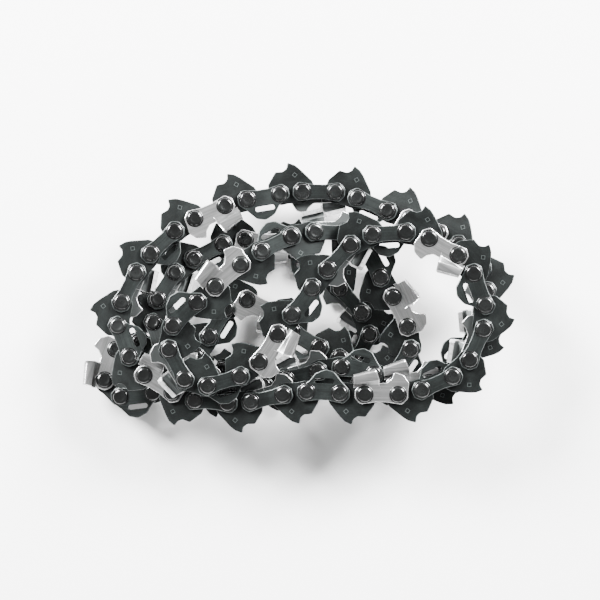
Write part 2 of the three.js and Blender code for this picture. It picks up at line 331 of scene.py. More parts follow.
class Outline:
    """Closed outlines in a link's XY plane, running anticlockwise."""

    STEP = math.radians(15)
    STRAIGHT = math.radians(88)
    ROUND_SHARE = 0.48
    LEAST_SHARE = 0.35

    @classmethod
    def rounded(cls, corners: Sequence[Corner]) -> Points:
        """A polygon with a round at each corner.

        Args:
            corners: x, y and radius of each corner, anticlockwise.

        Returns:
            The points of the outline.
        """
        spots = [np.array(corner[:2], float) for corner in corners]
        found: list[Points] = []
        for index, (_, _, radius) in enumerate(corners):
            here = spots[index]
            back = spots[index - 1] - here
            ahead = spots[(index + 1) % len(spots)] - here
            reach = cls.ROUND_SHARE * min(np.linalg.norm(back), np.linalg.norm(ahead))
            back, ahead = back / np.linalg.norm(back), ahead / np.linalg.norm(ahead)
            half = math.acos(max(-1.0, min(1.0, float(back @ ahead)))) / 2
            if half > cls.STRAIGHT:
                found.append(here)
                continue
            run = min(radius / math.tan(half), reach)
            radius = run * math.tan(half)
            centre = here + (back + ahead) / np.linalg.norm(back + ahead) * math.hypot(run, radius)
            start, end = here + back * run - centre, here + ahead * run - centre
            first = math.atan2(start[1], start[0])
            sweep = (math.atan2(end[1], end[0]) - first + math.pi) % (2 * math.pi) - math.pi
            count = max(2, math.ceil(abs(sweep) / cls.STEP))
            for step in range(count + 1):
                angle = first + sweep * step / count
                found.append(centre + radius * np.array([math.cos(angle), math.sin(angle)]))
        return np.array(found)

    @staticmethod
    def ring(x: float, y: float, radius: float, count: int) -> Points:
        """A circle of points around (x, y)."""
        angles = np.arange(count) * 2 * math.pi / count
        return np.column_stack([x + radius * np.cos(angles), y + radius * np.sin(angles)])

    @classmethod
    def inset(cls, outline: Points, depth: float) -> Points:
        """The outline moved inwards by a depth, and outwards if it is negative."""
        along = np.roll(outline, -1, axis=0) - outline
        along /= np.maximum(np.linalg.norm(along, axis=1), TINY)[:, None]
        inward = np.column_stack([-along[:, 1], along[:, 0]])
        before = np.roll(inward, 1, axis=0)
        share = 1 + (inward * before).sum(1)
        return outline + depth * (inward + before) / np.maximum(share, cls.LEAST_SHARE)[:, None]


# --------------------------------------------------------------------- meshes in pieces


# The round of a plate's edge, from its side (0) to its face, and the wear along it.
ROUND_STEPS = [math.radians(angle) for angle in (0, 30, 60, 90)]
EDGE_WEAR = [0.3, 0.75, 1.0, 0.7]
# A hole's chamfer, its points, and the wear at the chamfer's outer and inner edges.
HOLE_CHAMFER = 0.12
HOLE_POINTS = 28
HOLE_FACE_WEAR = 0.3
HOLE_WALL_WEAR = 0.6
# Edges sharper than this are drawn sharp.
SHARP_ANGLE = math.radians(38)
# The least share of a face's normal that points at the chain's middle for it to count as inner.
# Inner faces get painted shade: a darker colour that stands in for the shade inside the chain.
INNER_SHARE = 0.35


@dataclass
class Body:
    """A mesh under construction.

    Each point has a wear and a mark. inner_side is 1 or -1 where the body has faces that look at
    the middle of the chain along +Z or -Z, and 0 where it has none.
    """

    points: list[tuple[float, float, float]] = field(default_factory=list)
    faces: list[tuple[int, ...]] = field(default_factory=list)
    wear: list[float] = field(default_factory=list)
    marks: list[float] = field(default_factory=list)
    inner_side: int = 0

    def ring(self, loop: Iterable[Sequence[float]], wear: float, mark: float = 0.0) -> list[int]:
        """Adds a loop of points.

        Args:
            loop: the points.
            wear: how much they wear, from 0 to 1.
            mark: 1 where the point is on a stamped mark.

        Returns:
            The numbers of the points.
        """
        first = len(self.points)
        for x, y, z in loop:
            self.points.append((float(x), float(y), float(z)))
            self.wear.append(wear)
            self.marks.append(mark)
        return list(range(first, len(self.points)))

    def bridge(self, lower: list[int], upper: list[int]) -> None:
        """Joins two loops of as many points by a band of quads."""
        count = len(lower)
        for here in range(count):
            after = (here + 1) % count
            self.faces.append((lower[here], lower[after], upper[after], upper[here]))

    def cap(self, loops: Sequence[list[int]], up: bool, flat: Callable[[int], Vector]) -> None:
        """Closes a face that lies within loops.

        Args:
            loops: the outer loop, then its holes.
            up: True if the face looks along +Z of the flat view.
            flat: gives a point's place in the flat view.
        """
        order = [index for loop in loops for index in loop]
        flats = [[flat(index) for index in loop] for loop in loops]
        for a, b, c in tessellate_polygon(flats):
            one, two, three = (flat(order[index]) for index in (a, b, c))
            turn = (two - one).cross(three - one).z
            if abs(turn) < TINY:
                continue
            face = (order[a], order[b], order[c])
            self.faces.append(face if (turn > 0) == up else face[::-1])

    def _from_above(self, index: int) -> Vector:
        """A point's place, seen along Z."""
        x, y, _ = self.points[index]
        return Vector((x, y, 0.0))

    def plate(
        self,
        outline: Points,
        holes: Sequence[Points],
        span: tuple[float, float],
        bevel: float,
        shoulder: float,
    ) -> None:
        """A flat plate with rounded edges.

        Args:
            outline: its outer edge, anticlockwise.
            holes: loops cut through it, anticlockwise.
            span: its lowest and highest Z.
            bevel: radius of its edges.
            shoulder: width of the worn band beside each edge.
        """
        low, high = span
        arcs = [(bevel * (1 - math.cos(a)), bevel * (1 - math.sin(a))) for a in ROUND_STEPS]
        band = [(bevel + shoulder, low, 0.0)]
        band += [(inset, low + drop, EDGE_WEAR[i]) for i, (inset, drop) in enumerate(arcs)][::-1]
        band += [(inset, high - drop, EDGE_WEAR[i]) for i, (inset, drop) in enumerate(arcs)]
        band += [(bevel + shoulder, high, 0.0)]
        rings = []
        for inset, z, wear in band:
            loop = Outline.inset(outline, inset)
            rings.append(self.ring([(x, y, z) for x, y in loop], wear))
        for lower, upper in zip(rings, rings[1:]):
            self.bridge(lower, upper)
        bottoms, tops = [rings[0]], [rings[-1]]
        for hole in holes:
            chamfer = Outline.inset(hole, -HOLE_CHAMFER)
            floor = self.ring([(x, y, low) for x, y in chamfer], HOLE_FACE_WEAR)
            under = self.ring([(x, y, low + HOLE_CHAMFER) for x, y in hole], HOLE_WALL_WEAR)
            over = self.ring([(x, y, high - HOLE_CHAMFER) for x, y in hole], HOLE_WALL_WEAR)
            roof = self.ring([(x, y, high) for x, y in chamfer], HOLE_FACE_WEAR)
            for lower, upper in ((roof, over), (over, under), (under, floor)):
                self.bridge(lower, upper)
            bottoms.append(floor)
            tops.append(roof)
        self.cap(bottoms, False, self._from_above)
        self.cap(tops, True, self._from_above)

    def lathe(self, x: float, profile: Sequence[tuple[float, float, float]], count: int) -> None:
        """A turned solid on an upright axis at (x, 0).

        Args:
            x: where the axis stands.
            profile: radius, Z and wear of each ring, from the bottom to the top.
            count: how many points each ring has.
        """
        rings = []
        for radius, z, wear in profile:
            loop = Outline.ring(x, 0.0, radius, count)
            rings.append(self.ring([(a, b, z) for a, b in loop], wear))
        for lower, upper in zip(rings, rings[1:]):
            self.bridge(lower, upper)
        ends = ((rings[0], profile[0], False), (rings[-1], profile[-1], True))
        for rim, (_, z, wear), up in ends:
            hub = self.ring([(x, 0.0, z)], wear)[0]
            for here, after in zip(rim, rim[1:] + rim[:1]):
                self.faces.append((here, after, hub) if up else (after, here, hub))

    def mesh(self, name: str) -> bpy.types.Mesh:
        """The body as a Blender mesh, in metres.

        Args:
            name: the name of the mesh.

        Returns:
            The mesh. Its faces that look at the middle of the chain are marked where inner_side
            says which way that is, and the finish paints shade on them.
        """
        mesh = bpy.data.meshes.new(name)
        mesh.from_pydata([[c * MM for c in point] for point in self.points], [], self.faces)
        for label, values in (("wear", self.wear), ("mark", self.marks)):
            layer = mesh.attributes.new(label, "FLOAT", "POINT")
            layer.data.foreach_set("value", values)
        facing = [face.normal.z * self.inner_side for face in mesh.polygons]
        inward = [float(share > INNER_SHARE) for share in facing]
        mesh.attributes.new("inner", "FLOAT", "FACE").data.foreach_set("value", inward)
        mesh.polygons.foreach_set("use_smooth", [True] * len(mesh.polygons))
        mesh.set_sharp_from_angle(angle=SHARP_ANGLE)
        return mesh


# --------------------------------------------------------------------- shader nodes


Term = Union["Signal", float, int]


class Signal:
    """The output of a shader node, on which plain operators add Math nodes."""

    def __init__(self, graph: "Graph", socket: bpy.types.NodeSocket | None) -> None:
        """Wraps a socket of a graph, or None for a node that has no outputs."""
        self.graph = graph
        self.socket = socket

    def _math(self, operation: str, *terms: Term) -> "Signal":
        """A Math node on terms."""
        inputs = dict(enumerate(terms))
        return self.graph.node("ShaderNodeMath", {"operation": operation}, inputs)

    def __add__(self, other: Term) -> "Signal":
        """self + other."""
        return self._math("ADD", self, other)

    def __radd__(self, other: Term) -> "Signal":
        """other + self."""
        return self._math("ADD", other, self)

    def __sub__(self, other: Term) -> "Signal":
        """self - other."""
        return self._math("SUBTRACT", self, other)

    def __rsub__(self, other: Term) -> "Signal":
        """other - self."""
        return self._math("SUBTRACT", other, self)

    def __mul__(self, other: Term) -> "Signal":
        """self * other."""
        return self._math("MULTIPLY", self, other)

    def __rmul__(self, other: Term) -> "Signal":
        """other * self."""
        return self._math("MULTIPLY", other, self)

    def clamped(self) -> "Signal":
        """The value kept between 0 and 1."""
        settings = {"operation": "ADD", "use_clamp": True}
        return self.graph.node("ShaderNodeMath", settings, {0: self, 1: 0.0})

    def ramp(self, low: float, high: float) -> "Signal":
        """From 0 at low to 1 at high, and eased between them."""
        settings = {"interpolation_type": "SMOOTHSTEP"}
        inputs = {"Value": self, "From Min": low, "From Max": high}
        return self.graph.node("ShaderNodeMapRange", settings, inputs)


class Graph:
    """The node tree of one material."""

    # The numbers of a Mix node's colour sockets, and how far noise moves from piece to piece.
    MIX_ONE, MIX_TWO, MIX_RESULT = 6, 7, 2
    PIECE_SHIFT = 50.0

    def __init__(self, name: str) -> None:
        """Makes an empty material of that name."""
        self.material = bpy.data.materials.new(name)
        self.material.use_nodes = True
        self.tree = self.material.node_tree
        self.tree.nodes.clear()

    def node(
        self,
        kind: str,
        settings: dict[str, Any] | None = None,
        inputs: dict[str | int, Any] | None = None,
        output: str | int = 0,
    ) -> Signal:
        """Adds a node.

        Args:
            kind: its type.
            settings: its properties, which are set first.
            inputs: a value or a signal for each of its sockets.
            output: which of its outputs to give back.

        Returns:
            The output as a signal.
        """
        made = self.tree.nodes.new(kind)
        for name, value in (settings or {}).items():
            setattr(made, name, value)
        for key, value in (inputs or {}).items():
            socket = made.inputs[key]
            if isinstance(value, Signal):
                self.tree.links.new(value.socket, socket)
            else:
                socket.default_value = value
        outputs = made.outputs
        return Signal(self, outputs[output] if len(outputs) else None)

    def mix(self, share: Term, one: Any, two: Any) -> Signal:
        """A colour between one and two, by a share."""
        inputs = {"Factor": share, self.MIX_ONE: one, self.MIX_TWO: two}
        return self.node("ShaderNodeMix", {"data_type": "RGBA"}, inputs, self.MIX_RESULT)

    def noise(
        self, grain: tuple[float, float, float], detail: float, rough: float = 0.55
    ) -> Signal:
        """Noise that is fixed to a piece, and differs from piece to piece.

        Args:
            grain: how long its lumps are along each axis of the piece, in millimetres.
            detail: how many finer layers it has.
            rough: how strong those are.

        Returns:
            Its value, from 0 to 1.
        """
        place = self.node("ShaderNodeTexCoord", output="Object")
        chance = self.node("ShaderNodeObjectInfo", output="Random") * self.PIECE_SHIFT
        stretch = tuple(1 / (length * MM) for length in grain)
        inputs = {0: place, 1: stretch, 2: chance}
        where = self.node("ShaderNodeVectorMath", {"operation": "MULTIPLY_ADD"}, inputs)
        inputs = {"Vector": where, "Scale": 1.0, "Detail": detail, "Roughness": rough}
        return self.node("ShaderNodeTexNoise", {"noise_dimensions": "3D"}, inputs, "Fac")

    def attribute(self, name: str) -> Signal:
        """A value that the mesh holds at its points."""
        return self.node("ShaderNodeAttribute", {"attribute_name": name}, output="Fac")


Colour = tuple[float, float, float, float]


def cool_grey(value: float, cool: float = 0.0) -> Colour:
    """A grey with some of its red taken out, as a linear colour."""
    return (value * (1 - cool), value, value * (1 - cool / 6), 1.0)


# How long the lumps of each noise are along X, Y and Z of a piece.
CLOUD = (6.0, 6.0, 6.0)
GRAIN = (0.4, 0.4, 0.4)
SCUFF = (1.6, 1.6, 1.6)
BRUSH = (14.0, 0.32, 0.5)
# Where each mask starts and where it is full.
TONE_RANGE = (0.34, 0.66)
RUBBED_RANGE = (0.5, 0.95)
SPECK_RANGE = (0.7, 0.8)
# How bright a speck and a stamped mark are, beside a worn edge.
SPECK_SHARE = 0.2
MARK_SHARE = 0.55
# How wear and an inner face change the roughness.
WORN_SMOOTHER = 0.06
INNER_ROUGHER = 0.12
RELIEF_DEPTH = 0.04
COAT_IOR = 1.7


@dataclass(frozen=True)
class Finish:
    """A metal finish: a mottled face, a brushed grain, edges that wear bright, and painted shade on
    faces that look into the chain.
    """

    name: str
    slot: str
    dark: Colour
    light: Colour
    # Painted shade: the darker colour of faces that look into the chain, standing in for the shade
    # there.
    inner: Colour
    worn: Colour
    metallic: float
    rough: float
    spread: float
    wear: float
    bump: float
    coat: float
    coat_rough: float
    brushed: float

    def material(self) -> bpy.types.Material:
        """Builds the finish.

        Returns:
            The material.
        """
        graph = Graph(self.name)
        cloud = graph.noise(CLOUD, 3.0)
        grain = graph.noise(GRAIN, 4.0, 0.65)
        scuff = graph.noise(SCUFF, 5.0, 0.7)
        brush = graph.noise(BRUSH, 3.0, 0.6)
        edge = graph.attribute("wear")
        mark = graph.attribute("mark")
        inner = graph.attribute("inner")
        mottle = (cloud * 0.6 + grain * 0.4) * (1 - self.brushed) + brush * self.brushed
        tone = mottle.ramp(*TONE_RANGE)
        # Faces marked inner take the inner colour, a painted shade for the dark inside of the chain.
        face = graph.mix(inner, graph.mix(tone, self.dark, self.light), self.inner)
        rubbed = (edge * (scuff * 1.2 + 0.3)).ramp(*RUBBED_RANGE) * self.wear
        specks = scuff.ramp(*SPECK_RANGE) * (SPECK_SHARE * self.wear)
        bright = (rubbed + specks + mark * MARK_SHARE).clamped()
        colour = graph.mix(bright, face, self.worn)
        rough = self.rough + (mottle - 0.5) * self.spread + (cloud - 0.5) * self.spread
        rough = (rough - bright * WORN_SMOOTHER + inner * INNER_ROUGHER).clamped()
        height = grain * (1 - self.brushed) + brush * self.brushed + scuff * 0.4
        relief = {"Strength": self.bump, "Distance": RELIEF_DEPTH * MM, "Height": height}
        shader = graph.node(
            "ShaderNodeBsdfPrincipled",
            None,
            {
                "Base Color": colour,
                "Metallic": self.metallic,
                "Roughness": rough,
                "Coat Weight": self.coat,
                "Coat Roughness": self.coat_rough,
                "Coat IOR": COAT_IOR,
                "Normal": graph.node("ShaderNodeBump", None, relief),
            },
        )
        graph.node("ShaderNodeOutputMaterial", None, {"Surface": shader})
        return graph.material


def finishes() -> dict[str, Finish]:
    """The finishes of the chain, by the kind of piece."""
    # Each inner colour is painted shade for faces that look into the chain; only the cutters have
    # such faces, and theirs is much darker than the plating.
    strap = Finish(
        name="blued_strap_steel", slot="blued_strap", dark=cool_grey(0.006, 0.2),
        light=cool_grey(0.019, 0.2), inner=cool_grey(0.012), worn=cool_grey(0.2, 0.1), metallic=0.8,
        rough=0.4, spread=0.14, wear=0.45, bump=0.35, coat=0.16, coat_rough=0.25, brushed=0.35,
    )
    drive = replace(
        strap, name="blued_drive_steel", slot="blued_drive", dark=cool_grey(0.004, 0.2),
        light=cool_grey(0.013, 0.2), worn=cool_grey(0.12, 0.15), wear=0.4, coat=0.16, brushed=0.2,
    )
    cutter = replace(
        strap, name="plated_cutter_steel", slot="plated_cutter", dark=cool_grey(0.17, 0.02),
        light=cool_grey(0.27), inner=cool_grey(0.06, 0.08), worn=cool_grey(0.8), metallic=0.85,
        rough=0.3, spread=0.08, wear=0.8, bump=0.12, coat=0.0, brushed=0.7,
    )
    rivet = replace(
        strap, name="dark_rivet_steel", slot="rivet_steel", dark=cool_grey(0.005, 0.1),
        light=cool_grey(0.016, 0.1), worn=cool_grey(0.08), rough=0.26, wear=0.3, bump=0.15,
        coat=0.8, coat_rough=0.06, brushed=0.0,
    )
    return {"strap": strap, "drive": drive, "cutter": cutter, "rivet": rivet}


# ------------------------------------------------------------------ the kinds of piece


@dataclass
class DriveLink:
    """A drive link: two rivet holes, a tang with a hooked tip, and a stamped mark."""

    half: float = SIZES.drive_spacing / 2
    bevel: float = 0.13
    shoulder: float = 0.14
    mark_place: tuple[float, float] = (1.7, 5.1)
    mark_size: float = 0.85
    mark_wear: float = 0.4
    mark_steps: tuple[tuple[float, float], ...] = (
        (1.0, -0.02), (0.94, 0.05), (0.72, 0.05), (0.66, -0.02),
    )

    def outline(self) -> Points:
        """Its edge."""
        half, belly, tang = self.half, SIZES.belly, SIZES.tang
        return Outline.rounded([
            (-half - 3.0, 0.2, 1.2), (-half - 1.5, -belly * 0.85, 1.4),
            (-half + 0.6, -belly, 1.5), (-0.9, -belly + 0.25, 2.0), (half - 0.2, -belly, 1.6),
            (half + 2.6, -belly * 0.7, 1.8), (half + 3.65, 1.3, 1.4), (half + 3.1, 2.9, 1.6),
            (half - 0.1, tang - 2.2, 2.2), (2.0, tang - 0.9, 1.6), (0.0, tang, 0.28),
            (-0.45, tang - 1.65, 1.4), (-1.7, tang - 2.5, 1.2), (-3.9, tang - 2.4, 0.5),
            (-half - 2.9, 3.0, 1.4),
        ])

    def body(self) -> Body:
        """Builds the link in its own frame.

        Returns:
            The body.
        """
        made = Body()
        hole = SIZES.shank_radius + SIZES.pin_gap
        holes = [Outline.ring(x, 0.0, hole, HOLE_POINTS) for x in (-self.half, self.half)]
        face = SIZES.gauge / 2
        made.plate(self.outline(), holes, (-face, face), self.bevel, self.shoulder)
        self._stamp(made, face)
        return made

    def _stamp(self, made: Body, face: float) -> None:
        """Adds the stamped mark: a raised diamond frame on the near face."""
        x, y = self.mark_place
        loops = []
        for size, z in self.mark_steps:
            reach = self.mark_size * size
            spots = ((x + reach, y), (x, y + reach), (x - reach, y), (x, y - reach))
            loops.append(made.ring([(a, b, face + z) for a, b in spots], self.mark_wear, 1.0))
        for outer, inner in zip(loops, loops[1:] + loops[:1]):
            made.bridge(outer, inner)


@dataclass
class OuterPlate:
    """What the plates beside the drive links share: two ends around the rivets, and a waist."""

    half: float = SIZES.outer_spacing / 2
    waist: float = 2.15
    waist_reach: float = 1.6
    waist_round: float = 2.2
    bevel: float = 0.2
    shoulder: float = 0.12
    corner: float = 1.1

    def waist_corners(self) -> list[Corner]:
        """Corners of the waist on the tang side, from the front to the rear."""
        reach, waist, radius = self.waist_reach, self.waist, self.waist_round
        return [(reach, waist, radius), (-reach, waist, radius)]

    def end(self, front: int, from_corner: int, to_corner: int) -> list[Corner]:
        """Corners of an eight-sided end.

        Args:
            front: 1 for the front end and -1 for the rear one.
            from_corner: the first corner, counted in eighths of a turn from +X.
            to_corner: the last one.

        Returns:
            x, y and radius of each corner.
        """
        reach = SIZES.end_radius
        angles = [math.radians(45 * step + 22.5) for step in range(from_corner, to_corner + 1)]
        return [
            (front * self.half + reach * math.cos(a), reach * math.sin(a), self.corner)
            for a in angles
        ]

    def holes(self) -> list[Points]:
        """The two rivet holes."""
        radius = SIZES.shank_radius + SIZES.pin_gap
        return [Outline.ring(x, 0.0, radius, HOLE_POINTS) for x in (-self.half, self.half)]

    def span(self, side: Side) -> tuple[float, float]:
        """The lowest and highest Z of a plate on a side."""
        faces = (SIZES.inner_face * side.value, SIZES.outer_face * side.value)
        return min(faces), max(faces)


@dataclass
class TieStrap(OuterPlate):
    """A plain strap with a narrow waist."""

    def body(self, side: Side) -> Body:
        """Builds the strap on a side."""
        upper = self.waist_corners()
        lower = [(-x, -y, radius) for x, y, radius in upper]
        outline = Outline.rounded([*lower, *self.end(1, -2, 1), *upper, *self.end(-1, 2, 5)])
        made = Body()
        made.plate(outline, self.holes(), self.span(side), self.bevel, self.shoulder)
        return made


@dataclass
class BumperStrap(OuterPlate):
    """A strap with a hump over the chain, and a slot through the hump."""

    slot_middle: float = -0.1
    slot_half: float = 2.9
    slot_width: float = 1.45

    def body(self, side: Side) -> Body:
        """Builds the strap on a side."""
        top = -SIZES.bumper_height
        outline = Outline.rounded([
            (-self.half - 0.4, -SIZES.end_radius - 0.4, 1.0), (-self.half + 1.8, top + 0.7, 1.6),
            (-0.4, top, 1.8), (2.4, top + 1.2, 1.8), (self.half - 0.5, -SIZES.end_radius, 1.5),
            *self.end(1, -1, 1), *self.waist_corners(), *self.end(-1, 2, 4),
        ])
        half, rise = self.slot_width / 2, top / 2
        rear, front = self.slot_middle - self.slot_half, self.slot_middle + self.slot_half
        slot = Outline.rounded([
            (rear, rise - half, half), (front, rise - half, half),
            (front, rise + half, half), (rear, rise + half, half),
        ])
        made = Body()
        holes = [*self.holes(), slot]
        made.plate(outline, holes, self.span(side), self.bevel, self.shoulder)
        return made


@dataclass
class Cutter(OuterPlate):
    """A cutter: a depth gauge, a gullet, and a crown that flares out and folds over the chain."""

    edge: float = 1.55
    heel: float = 3.2
    skin: float = 0.03
    skew: float = 0.3
    rake: float = 0.32
    crown_bevel: float = 0.12
    lip: float = 0.25
    crown_shares: tuple[float, ...] = (0.1, 0.35, 0.65, 0.9)
    drop_start: float = 3.2
    drop_run: float = 1.2

    def outline(self) -> Points:
        """The edge of its flat plate."""
        half, height = self.half, SIZES.cutter_height
        return Outline.rounded([
            (-half - 3.2, -3.3, 0.7), (-half - 1.7, -5.55, 1.2), (-half + 1.05, -height + 0.72, 0.5),
            (-3.0, -4.7, 0.9), (-1.5, -3.35, 1.0), (1.6, -3.2, 0.8), *self.end(1, -2, 1),
            *self.waist_corners(), *self.end(-1, 2, 3), (-half - 2.9, -1.0, 1.6),
        ])

    def profile(self) -> list[Corner]:
        """The crown's section: Y, height above the middle plane, and wear, anticlockwise."""
        face, back = SIZES.inner_face + SIZES.flare, SIZES.outer_face + SIZES.flare
        high, inner, outer = -SIZES.cutter_height, SIZES.inner_face, SIZES.outer_face
        floor = high + SIZES.top_plate
        return [
            (-1.8, outer - self.skin, 0.0), (-1.8, inner + self.skin, 0.0),
            (-2.75, inner + self.skin, 0.0), (-3.1, inner + 0.1, 0.1),
            (-4.5, face - 0.1, 0.1), (-4.85, face, 0.0),
            (floor + 0.35, face, 0.0), (floor + 0.08, face - 0.1, 0.1), (floor, face - 0.4, 0.2),
            (floor, self.lip, 0.9), (high + 0.1, self.lip - 0.1, 1.0), (high, self.lip + 0.1, 0.8),
            (high, back - 0.75, 0.2), (high + 0.12, back - 0.35, 0.7),
            (high + 0.4, back - 0.08, 0.9), (high + 0.75, back, 0.35),
            (-4.55, back, 0.0), (-4.2, back - 0.1, 0.25), (-2.85, outer + 0.16, 0.2),
            (-2.45, outer - self.skin, 0.0),
        ]

    def body(self, side: Side) -> Body:
        """Builds the cutter on a side."""
        # Its faces that look into the chain are marked, so the finish paints shade on them.
        made = Body(inner_side=-side.value)
        made.plate(self.outline(), self.holes(), self.span(side), self.bevel, self.shoulder)
        self._crown(made, side)
        return made

    def _crown(self, made: Body, side: Side) -> None:
        """Adds the crown, from its heel to its cutting edge."""
        section = self.profile()
        flat = np.array([(y, z) for y, z, _ in section])
        length = self.half + self.heel - self.edge
        stations = [(0.0, self.crown_bevel, 1.0), (self.crown_bevel, 0.0, 0.8)]
        stations += [(length * share, 0.0, 0.0) for share in self.crown_shares]
        stations += [(length - self.crown_bevel, 0.0, 0.7), (length, self.crown_bevel, 0.8)]
        back = SIZES.outer_face + SIZES.flare
        rings = []
        for run, inset, wear in stations:
            share = run / length
            first = len(made.points)
            for (y, z), (_, _, own) in zip(Outline.inset(flat, inset), section):
                lean = self.skew * (back - z) + self.rake * min(0.0, -y - SIZES.cutter_height)
                x = self.edge + run + (1 - share) * lean
                bent = min(1.0, max(0.0, (-y - self.drop_start) / self.drop_run))
                y += SIZES.cutter_drop * share * bent
                made.points.append((float(x), float(y), float(side.value * z)))
                made.wear.append(max(wear, own))
                made.marks.append(0.0)
            rings.append(list(range(first, len(made.points))))
        if side is Side.NEAR:
            rings.reverse()
        for lower, upper in zip(rings, rings[1:]):
            made.bridge(lower, upper)

        def end_on(index: int) -> Vector:
            """A point's place, seen along X."""
            _, y, z = made.points[index]
            return Vector((y, z, 0.0))

        made.cap([rings[0]], side is Side.NEAR, end_on)
        made.cap([rings[-1]], side is not Side.NEAR, end_on)


@dataclass
class Rivet:
    """A rivet: a shank between two domed heads with sunk middles."""

    count: int = 36

    def head(self) -> list[tuple[float, float, float]]:
        """A head's radius, Z and wear, from its foot to its middle."""
        rim, foot, top = SIZES.head_radius, SIZES.outer_face + 0.01, SIZES.head_top
        rise = top - foot
        return [
            (rim + 0.34, foot, 0.2), (rim + 0.3, foot + 0.03, 0.3), (rim + 0.22, foot + 0.04, 0.2),
            (rim + 0.05, foot + 0.03, 0.0), (rim + 0.04, foot + rise * 0.3, 0.2),
            (rim, foot + rise * 0.52, 0.3), (rim - 0.12, foot + rise * 0.74, 0.4),
            (rim - 0.32, foot + rise * 0.9, 0.4), (rim - 0.58, top - 0.01, 0.2),
            (rim - 0.85, top, 0.1), (rim - 1.05, top - 0.05, 0.0), (rim - 1.4, top - 0.08, 0.0),
            (0.35, top - 0.08, 0.0),
        ]

    def body(self, x: float) -> Body:
        """Builds the rivet on an axis at (x, 0)."""
        made = Body()
        upper = self.head()
        lower = [(radius, -z, wear) for radius, z, wear in reversed(upper)]
        face = SIZES.outer_face
        shank = [(SIZES.shank_radius, z, 0.0) for z in (-face, face)]
        made.lathe(x, [*lower, *shank, *upper], self.count)
        return made


# ------------------------------------------------------------------- the loop of chain


@dataclass(frozen=True)
class Run:
    """A row of links that one node of the frame stands for."""

    node: str
    first: int
    count: int


